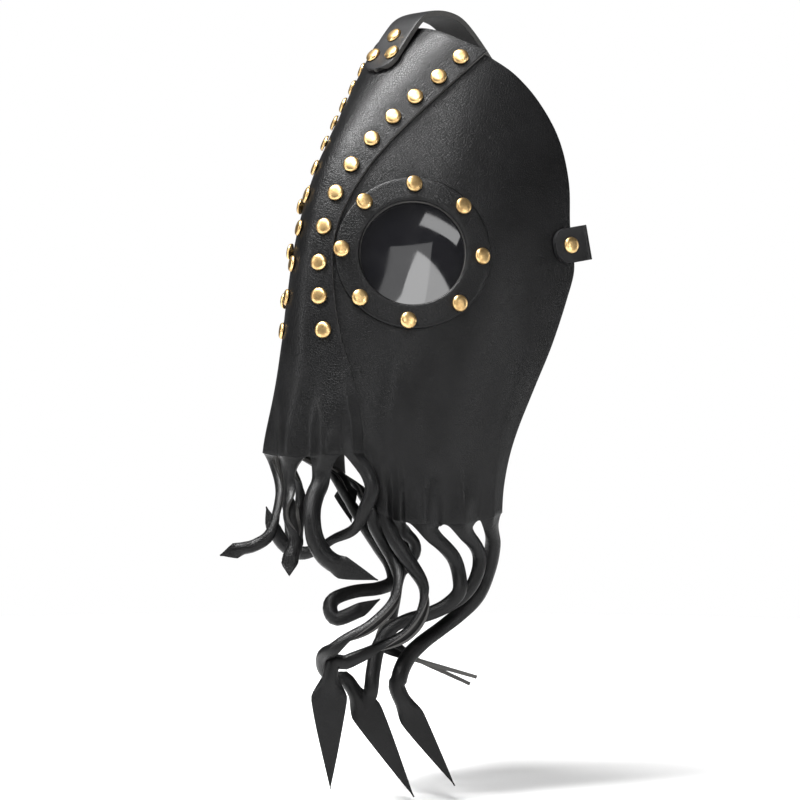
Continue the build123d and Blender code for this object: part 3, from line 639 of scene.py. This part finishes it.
def pulled_folds(columns, limits, above_bottom):
    """Ridges above the strips and hollows above the arches between them."""
    marks = [0.0]
    heights = [0.0]
    for a, b in zip(limits, limits[1:]):
        size = min((b - a) / WIDE_STRIP, 1.0)
        marks += [(a + b) / 2, b]
        heights += [size, -size]
    wave = np.sin(np.interp(columns, marks, heights) * np.pi / 2)
    return FOLD_DEPTH * wave * np.exp(-((above_bottom / FOLD_REACH) ** 2))


def creases(points, folds):
    """Relief of long soft folds: each is a line on the form, a half-width and a height."""
    depth = np.zeros(points.shape[:-1])
    for start, end, half_width, height in folds:
        start = np.array(start, float)
        run = np.array(end, float) - start
        t = np.clip((points - start) @ run / (run @ run), 0, 1)
        away = np.linalg.norm(points - start - t[..., None] * run, axis=-1)
        fade = np.sin(np.pi * np.clip(t, FOLD_TAIL, 1 - FOLD_TAIL)) ** 0.5
        depth += height * np.exp(-((away / half_width) ** 2)) * fade
    return depth


def eye_rivets():
    """Places of the eye ring's rivets on the form."""
    turns = np.radians(90 + EYE_RIVET_TURN + 360 / EYE_RIVETS * np.arange(EYE_RIVETS))
    return list(form_point(*form_at_eye(EYE_RIVET_RADIUS * np.cos(turns), EYE_RIVET_RADIUS * np.sin(turns))))


def cut_eye_hole(points, faces, relief):
    """Faces left round the eye hole; the points at its edge move onto its circle."""
    x, y = eye_place(points)
    middles = np.array([[x[list(face)].mean(), y[list(face)].mean()] for face in faces])
    near = (points @ EYE_OUT)[[face[0] for face in faces]] > EYE_ORIGIN @ EYE_OUT - EYE_DEPTH
    gone = (np.hypot(*middles.T) < EYE_HOLE_RADIUS) & near
    inside = {corner for face, out in zip(faces, gone) if out for corner in face}
    kept = [face for face, out in zip(faces, gone) if not out]
    rim = sorted(inside & {corner for face in kept for corner in face})
    reach = EYE_HOLE_RADIUS / np.hypot(x[rim], y[rim])
    rim_share, rim_height = form_at_eye(x[rim] * reach, y[rim] * reach)
    points[rim] = lifted(rim_share, rim_height, relief[rim])
    return kept


def strips_below(points, share, height, strips):
    """Points and faces of the strips that hang from a panel's last row."""
    last_row = len(points) - len(share)
    count = len(points)
    rows = []
    faces = []
    for number, (_, _, *tentacle) in enumerate(strips):
        first = number * SEGMENTS
        root_ids = [last_row + first + column for column in range(SEGMENTS + 1)]
        middle = first + SEGMENTS // 2
        root_normal = form_normal(share[middle], height[middle])
        strip_rows = tentacle_rows(points[root_ids], root_normal, *tentacle)
        for column in range(SEGMENTS):
            faces.append((root_ids[column], count + column, count + column + 1, root_ids[column + 1]))
        faces += grid_faces(len(strip_rows), SEGMENTS + 1, count)
        rows.append(strip_rows.reshape(-1, 3))
        count += strip_rows.shape[0] * strip_rows.shape[1]
    return rows, faces


def panel_piece(name, node, edges, bottom, top, lift, strips, with_eye, mirror_it):
    """One leather panel with its tentacles, all one sheet."""
    front, back = edges
    limits = [0.0] + [strip[0] for strip in strips]
    spans = [np.linspace(a, b, SEGMENTS, endpoint=False) for a, b in zip(limits, limits[1:])]
    columns = np.concatenate(spans + [[1.0]])
    drop = np.linspace(0, 1, PANEL_ROWS)[:, None]
    upper = along(top, columns)[:, 0]
    lower = along(bottom, columns)[:, 0]
    height = upper + (lower - upper) * drop
    start = share_at(front(height), height)
    end = share_at(back(height), height)
    share = start + (end - start) * columns
    places = form_point(share, height)
    if with_eye:
        rivets = eye_rivets() + seam_rivets((1,))
        folds = SIDE_FOLDS
    else:
        rivets = seam_rivets((1, -1))
        folds = CENTRE_FOLDS
    relief = lift - rivet_dents(places, rivets) + creases(places, folds)
    relief = relief + pulled_folds(np.broadcast_to(columns, share.shape), limits, height - lower)
    points = lifted(share, height, relief).reshape(-1, 3)
    faces = grid_faces(PANEL_ROWS, len(columns))
    if with_eye:
        faces = cut_eye_hole(points, faces, relief.reshape(-1))
    strip_points, strip_faces = strips_below(points, share[-1], height[-1], strips)
    points = np.vstack([points] + strip_points)
    faces += strip_faces
    if mirror_it:
        points, faces = flipped(points, faces)
    piece = new_piece(name, points, faces, [PANEL, EDGE, FLESH], "mask",
                      [node] + [strip[1] for strip in strips])
    give_thickness(piece, PANEL_LEATHER, PANEL_BEVEL)


def edge_of(table, side=1):
    """Distance of an edge from the centre line, by height, on the left (1) or the right (-1)."""
    return lambda height: side * along(table, height)[..., 0]


centre_edges = (edge_of(CENTRE_EDGE, -1), edge_of(CENTRE_EDGE))
side_edges = (edge_of(SIDE_FRONT_EDGE), edge_of(SIDE_BACK_EDGE))
panel_piece("centre_leather", "centre_panel", centre_edges, CENTRE_BOTTOM, CENTRE_TOP,
            RING_FACE, CENTRE_STRIPS, with_eye=False, mirror_it=False)
panel_piece("left_side_leather", "left_side_panel", side_edges, LEFT_BOTTOM, SIDE_TOP,
            PANEL_LEATHER, LEFT_STRIPS, with_eye=True, mirror_it=False)
panel_piece("right_side_leather", "right_side_panel", side_edges, RIGHT_BOTTOM, SIDE_TOP,
            PANEL_LEATHER, RIGHT_STRIPS, with_eye=True, mirror_it=True)


# ---- crown strap ---------------------------------------------------------------------
# Side view of its middle line, Y and Z: from its front end over the head to its rear end
CROWN_ROUTE = [
    (45.9, 91.2), (54.9, 102.6), (62, 111.5), (68.5, 118), (77, 121.6), (88, 121.4), (97, 117.8),
    (109, 107.3), (122, 93), (133, 78), (140.5, 64), (144.2, 54.5), (147.5, 45), (148.3, 37.5),
    (146.2, 31.6), (141, 31.5), (138.6, 37), (138.9, 45), (141.4, 53), (140.4, 59),
]
CROWN_WIDTH = 21.0
CROWN_END = 9.0
CROWN_TIP = 0.05
END_POWER = 2.4
CROWN_CUP = 0.35
STRAP_LEATHER = 2.5
STRAP_COLUMNS = 15
STRAP_STEP = 1.5


def crown_piece():
    """Crown strap: a flat band with round ends, slightly cupped across its width."""
    path, lengths = smooth_route([(0, y, z) for y, z in CROWN_ROUTE], STRAP_STEP)
    tangents = unit(np.gradient(path, axis=0))
    across = np.array([1.0, 0, 0])
    outward = np.cross(across, tangents)
    from_end = np.clip(np.minimum(lengths, lengths[-1] - lengths), CROWN_TIP, CROWN_END)
    half = CROWN_WIDTH / 2 * (1 - (1 - from_end / CROWN_END) ** END_POWER) ** (1 / END_POWER)
    spread = np.linspace(-1, 1, STRAP_COLUMNS)
    cup = -CROWN_CUP * spread ** 4
    points = path[:, None] + across * (half[:, None] * spread)[..., None]
    points = points + outward[:, None] * (STRAP_LEATHER / 2 + cup)[None, :, None]
    faces = [tuple(reversed(face)) for face in grid_faces(len(path), STRAP_COLUMNS)]
    piece = new_piece("crown_strap_band", points.reshape(-1, 3), faces, [STRAP, EDGE, FLESH], "mask",
                      ["crown_strap"])
    give_thickness(piece, STRAP_LEATHER, STRAP_BEVEL)


crown_piece()


# ---- eye windows ---------------------------------------------------------------------
TURNS = 128
RING_CORNER = 0.9
RING_STEPS = 9
# Points of the ring's rounded corners: distance in from the edge, drop below the face
INNER_ROUNDING = [(0, 0.7), (0.3, 0.2)]
OUTER_ROUNDING = [(0.3, 0.15), (0, 0.6)]
LENS_CORNER = 0.3
LENS_FRONT_ROWS = 20
LENS_BACK_ROWS = 8


def turned_at_eye(profile, closed):
    """Profile of (radius, lift) pairs carried round the eye on the form's own curve."""
    angles = np.linspace(0, 2 * np.pi, TURNS, endpoint=False)
    rows = []
    for radius, lift in profile:
        share, height = form_at_eye(radius * np.cos(angles), radius * np.sin(angles))
        rows.append(lifted(share, height, np.full(TURNS, lift)))
    faces = grid_faces(len(rows), TURNS, closed=True)
    if closed:
        last = (len(rows) - 1) * TURNS
        for turn in range(TURNS):
            following = (turn + 1) % TURNS
            faces.append((last + turn, turn, following, last + following))
    return np.vstack(rows), faces


def ring_profile():
    """Closed section of the eye ring, with softened corners."""
    outer = EYE_RING_RADIUS
    inner = EYE_HOLE_RADIUS
    radii = np.linspace(inner + RING_CORNER, outer - RING_CORNER, RING_STEPS)
    face = [(radius, RING_FACE) for radius in radii]
    inner_corner = [(inner + across, RING_FACE - drop) for across, drop in INNER_ROUNDING]
    outer_corner = [(outer - across, RING_FACE - drop) for across, drop in OUTER_ROUNDING]
    return [(inner, RING_BACK), *inner_corner, *face, *outer_corner, (outer, RING_BACK)]


def lens_profile():
    """Open section of the lens from its front middle over its rim to its back middle."""
    inner = LENS_RADIUS - LENS_CORNER
    front = [(radius, LENS_FRONT) for radius in np.linspace(AXIS_RADIUS, inner, LENS_FRONT_ROWS)]
    back = [(radius, LENS_BACK) for radius in np.linspace(inner, AXIS_RADIUS, LENS_BACK_ROWS)]
    rim = [(LENS_RADIUS, LENS_FRONT - LENS_CORNER), (LENS_RADIUS, LENS_BACK + LENS_CORNER)]
    return front + rim + back


for side in ("left", "right"):
    for kind, profile, closed, material, slot_name in (
        ("eye_ring", ring_profile(), True, PANEL, "panel_leather"),
        ("eye_lens", lens_profile(), False, LENS, "smoked_lens"),
    ):
        points, faces = turned_at_eye(profile, closed)
        if side == "right":
            points, faces = flipped(points, faces)
        new_piece(f"{side}_{kind}_face", points, faces, [material], "mask", [f"{side}_{kind}"])


# ---- rivets --------------------------------------------------------------------------
POST_RADIUS = 1.5
# Cap of a rivet: radius and height above its foot, from the top round to the post
RIVET_PROFILE = [
    (AXIS_RADIUS, 1.9), (1.2, 1.87), (2.2, 1.77), (2.9, 1.6), (3.35, 1.38), (3.7, 1.08), (3.9, 0.75),
    (4.0, 0.4), (4.0, 0.0), (POST_RADIUS, 0.0),
]
LATHE_SIDES = 28
SAME_PLACE = 1e-6
WIDE_SHARE = 0.9


def rivet_places(node):
    """Foot of each cap, outward axis and post length of each rivet of a CAD node."""
    mesh = bmesh.new()
    mesh.from_mesh(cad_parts[node].data)
    bmesh.ops.remove_doubles(mesh, verts=mesh.verts, dist=SAME_PLACE)
    seen = set()
    places = []
    for start in mesh.verts:
        if start in seen:
            continue
        seen.add(start)
        group = [start]
        # The group grows while it is walked, until it holds the whole rivet
        for vertex in group:
            for edge in vertex.link_edges:
                other = edge.other_vert(vertex)
                if other not in seen:
                    seen.add(other)
                    group.append(other)
        places.append(rivet_place(np.array([vertex.co[:] for vertex in group]) / MM))
    mesh.free()
    return places


def rivet_place(points):
    """Foot of the cap, outward axis and post length of one rivet from its points."""
    middle = (points.min(0) + points.max(0)) / 2
    values, vectors = np.linalg.eigh(np.cov((points - middle).T))
    axis = vectors[:, 2] if values[1] - values[0] < values[2] - values[1] else vectors[:, 0]
    centre = points.mean(0)
    offsets = (points - centre) @ axis
    radii = np.linalg.norm(points - centre - offsets[:, None] * axis, axis=1)
    wide = offsets[radii > radii.max() * WIDE_SHARE].mean()
    if wide < (offsets.min() + offsets.max()) / 2:
        axis = -axis
        offsets = -offsets
    foot = centre + axis * (offsets.max() - RIVET_DOME)
    return foot, axis, offsets.max() - RIVET_DOME - offsets.min()


def lathe(profile, foot, axis):
    """Points and faces of a profile of (radius, height) pairs turned about an axis."""
    # Any direction well away from the axis will do
    helper = np.array([1.0, 0, 0]) if abs(axis[0]) < 0.7 else np.array([0, 1.0, 0])
    first = unit(np.cross(axis, helper))
    second = np.cross(axis, first)
    angles = np.linspace(0, 2 * np.pi, LATHE_SIDES, endpoint=False)
    circle = np.cos(angles)[:, None] * first + np.sin(angles)[:, None] * second
    rows = [foot + radius * circle + height * axis for radius, height in profile]
    return np.vstack(rows), grid_faces(len(rows), LATHE_SIDES, closed=True)


def rivet_piece(node, body):
    """All the rivets of one CAD node, as turned caps with their posts."""
    points = []
    faces = []
    count = 0
    for foot, axis, post in rivet_places(node):
        profile = RIVET_PROFILE + [(POST_RADIUS, -post), (AXIS_RADIUS, -post)]
        cap_points, cap_faces = lathe(profile, foot, axis)
        points.append(cap_points)
        faces += [tuple(count + corner for corner in face) for face in cap_faces]
        count += len(cap_points)
    new_piece(f"{node}_turned", np.vstack(points), faces, [BRASS], body, [node])


for node, body in (
    ("left_seam_rivets", "mask"), ("right_seam_rivets", "mask"), ("left_eye_rivets", "mask"),
    ("right_eye_rivets", "mask"), ("crown_rivets", "mask"), ("crown_loop_rivet", "mask"),
    ("left_temple_rivet", "mask"), ("right_temple_rivet", "mask"), ("fold_rivets", "buckle_half"),
):
    rivet_piece(node, body)


# ---- CAD nodes that keep their shape --------------------------------------------------
def dress(node, material, bevel=0.0):
    """A CAD node's material, and softened edges."""
    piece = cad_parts[node]
    if not piece.material_slots:
        piece.data.materials.append(material)
    for slot in piece.material_slots:
        slot.material = material
    if bevel:
        soften(piece, bevel)


for node in ("left_billet_strap", "right_buckle_strap", "strap_keeper"):
    dress(node, STRAP, PLY_BEVEL)
for side in ("left", "right"):
    dress(f"{side}_lens_retainer", FLESH)
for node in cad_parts:
    if node.endswith(("_backs", "_back")):
        dress(node, BRASS)
for node in ("buckle_frame", "buckle_roller", "buckle_prong"):
    dress(node, BUCKLE)


# ---- stage, light and camera ---------------------------------------------------------
VIEW_AZIMUTH = math.radians(48)
TO_RIGHT = np.array([math.cos(VIEW_AZIMUTH), math.sin(VIEW_AZIMUTH), 0])
INWARD = np.array([-math.sin(VIEW_AZIMUTH), math.cos(VIEW_AZIMUTH), 0])
UP = np.array([0, 0, 1.0])
CAMERA_DISTANCE = 1300
# Width of what the camera sees at the target
FRAME_WIDTH = 388
SENSOR = 36
SKY_LIGHT = 0.12
FLOOR_RADIUS = 1100
FLOOR_SIDES = 96
FLOOR_GAP = 2
TARGET = TO_RIGHT * 46.3 + INWARD * 20 + UP * -69.84


def aim(thing, place, target):
    """Put a camera or lamp at a place, looking at a target."""
    thing.location = Vector(place * MM)
    thing.rotation_mode = "QUATERNION"
    thing.rotation_quaternion = Vector(target - place).to_track_quat("-Z", "Y")


def softbox(name, direction, distance, width, height, power, roll=0.0):
    """Rectangular lamp that faces the mask; direction is right, inward, up of the camera."""
    lamp = bpy.data.lights.new(name, "AREA")
    lamp.shape = "RECTANGLE"
    lamp.size = width * MM
    lamp.size_y = height * MM
    lamp.energy = power
    holder = bpy.data.objects.new(name, lamp)
    bpy.context.scene.collection.objects.link(holder)
    place = TARGET + unit(np.array(direction) @ np.array([TO_RIGHT, INWARD, UP])) * distance
    aim(holder, place, TARGET)
    holder.rotation_quaternion = holder.rotation_quaternion @ Quaternion((0, 0, 1), math.radians(roll))


def add_camera():
    """Camera level with the target, at the photographed side of the mask."""
    camera = bpy.data.objects.new("camera", bpy.data.cameras.new("camera"))
    bpy.context.scene.collection.objects.link(camera)
    camera.data.sensor_width = SENSOR
    camera.data.lens = SENSOR * CAMERA_DISTANCE / FRAME_WIDTH
    camera.data.clip_start = 0.01
    camera.data.clip_end = 100
    aim(camera, TARGET - INWARD * CAMERA_DISTANCE, TARGET)
    bpy.context.scene.camera = camera


def add_world():
    """White to the camera, and a weak even light to everything else."""
    world = bpy.data.worlds.new("studio")
    bpy.context.scene.world = world
    world.use_nodes = True
    sky = world.node_tree.nodes["Background"]
    sky.inputs["Color"].default_value = (1, 1, 1, 1)
    seen = world.node_tree.nodes.new("ShaderNodeLightPath")
    strength = world.node_tree.nodes.new("ShaderNodeMapRange")
    strength.inputs["To Min"].default_value = SKY_LIGHT
    strength.inputs["To Max"].default_value = 1.0
    world.node_tree.links.new(seen.outputs["Is Camera Ray"], strength.inputs["Value"])
    world.node_tree.links.new(strength.outputs["Result"], sky.inputs["Strength"])


def add_floor():
    """Round pale floor just below the longest tentacle."""
    turns = np.linspace(0, 2 * np.pi, FLOOR_SIDES, endpoint=False)
    rim = np.stack([np.cos(turns), np.sin(turns), 0 * turns], 1) * FLOOR_RADIUS
    level = cad_low[2] / MM - FLOOR_GAP
    mesh = bpy.data.meshes.new("floor")
    mesh.from_pydata(((rim + (0, 0, level)) * MM).tolist(), [], [tuple(range(FLOOR_SIDES))])
    floor = bpy.data.objects.new("floor", mesh)
    mesh.materials.append(floor_material())
    bpy.context.scene.collection.objects.link(floor)


add_camera()
# Name, direction, distance, width, height, power in watts and roll in degrees
softbox("key", (-0.38, -0.1, 0.92), 1400, 700, 600, 68)
softbox("front_high", (-0.1, -0.68, 0.73), 1400, 350, 350, 10)
softbox("cheek_strip", (0.68, -0.72, -0.08), 1400, 100, 900, 7)
softbox("rim_right", (1.0, 0.1, -0.1), 1200, 150, 1200, 5)
softbox("rim_left", (-0.95, -0.35, 0.15), 1200, 200, 1200, 8)
# The last three are seen as bright windows in the lens
softbox("window", (0.13, -0.95, 0.2), 1400, 560, 260, 3.4, -29)
softbox("window_low", (0.0, -0.95, 0.31), 1420, 280, 280, 0.5)
softbox("window_band", (0.16, -0.9, 0.47), 1400, 480, 80, 0.8, -29)
add_world()
add_floor()
bpy.context.scene.view_settings.view_transform = "Standard"
